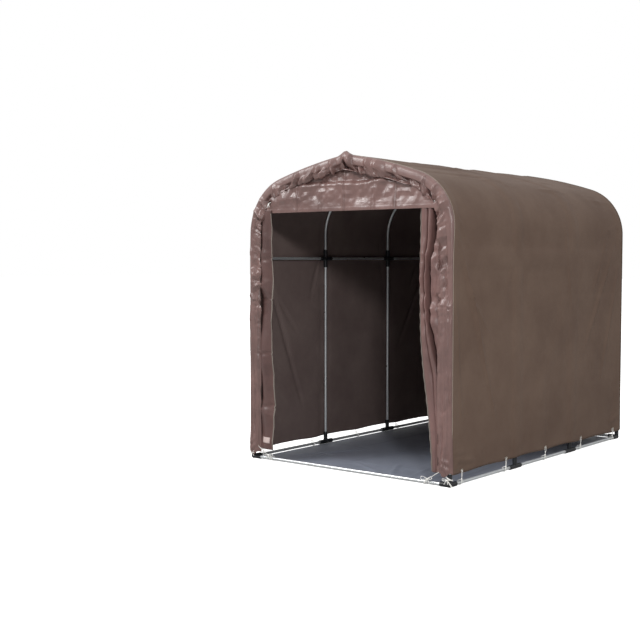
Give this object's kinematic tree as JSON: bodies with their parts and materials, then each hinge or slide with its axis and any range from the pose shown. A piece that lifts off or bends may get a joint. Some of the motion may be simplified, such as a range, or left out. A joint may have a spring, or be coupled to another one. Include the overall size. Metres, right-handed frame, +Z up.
{
  "type": "bicycle shelter",
  "caption": "Arched pipe-frame bicycle shelter with a fitted fabric cover, open at the front, its door gathered to one side.",
  "frame": {"origin": "on the ground, in the middle of the plan", "axes": "+X to the right across the entrance, +Y from the entrance to the rear, +Z up"},
  "size_m": [1.527, 2.247, 1.8998],
  "materials": {
    "galvanised_pipe": "satin",
    "black_joint": "matte",
    "brown_cover": "coated",
    "front_cover": "coated",
    "white_cord": "woven",
    "floor_sheet": "coated"
  },
  "bodies": {
    "root": {"hoop_legs_front": "galvanised_pipe", "hoop_bows_front": "galvanised_pipe", "hoop_legs_second": "galvanised_pipe", "hoop_bows_second": "galvanised_pipe", "hoop_legs_third": "galvanised_pipe", "hoop_bows_third": "galvanised_pipe", "hoop_legs_rear": "galvanised_pipe", "hoop_bows_rear": "galvanised_pipe", "side_purlin_left": "galvanised_pipe", "base_rail_left": "galvanised_pipe", "wall_joints_left": "black_joint", "base_tees_left": "black_joint", "corner_joint_front_left": "black_joint", "corner_joint_rear_left": "black_joint", "tie_cords_left": "white_cord", "cover_side_left": "brown_cover", "cover_shoulder_left": "brown_cover", "cover_roof_left": "brown_cover", "band_leg_left": "front_cover", "band_arch_left": "front_cover", "side_purlin_right": "galvanised_pipe", "base_rail_right": "galvanised_pipe", "wall_joints_right": "black_joint", "base_tees_right": "black_joint", "corner_joint_front_right": "black_joint", "corner_joint_rear_right": "black_joint", "tie_cords_right": "white_cord", "cover_side_right": "brown_cover", "cover_shoulder_right": "brown_cover", "cover_roof_right": "brown_cover", "band_leg_right": "front_cover", "band_arch_right": "front_cover", "tie_cords_front": "white_cord", "tie_cords_rear": "white_cord", "ridge_purlin": "galvanised_pipe", "ridge_joints": "black_joint", "base_rail_front": "galvanised_pipe", "base_rail_rear": "galvanised_pipe", "door_bar": "galvanised_pipe", "door_bar_clips": "black_joint", "cover_back": "brown_cover", "door_valance": "front_cover", "door_strip": "front_cover", "door_curtain": "front_cover", "floor_sheet": "floor_sheet"}
  },
  "joints": []
}
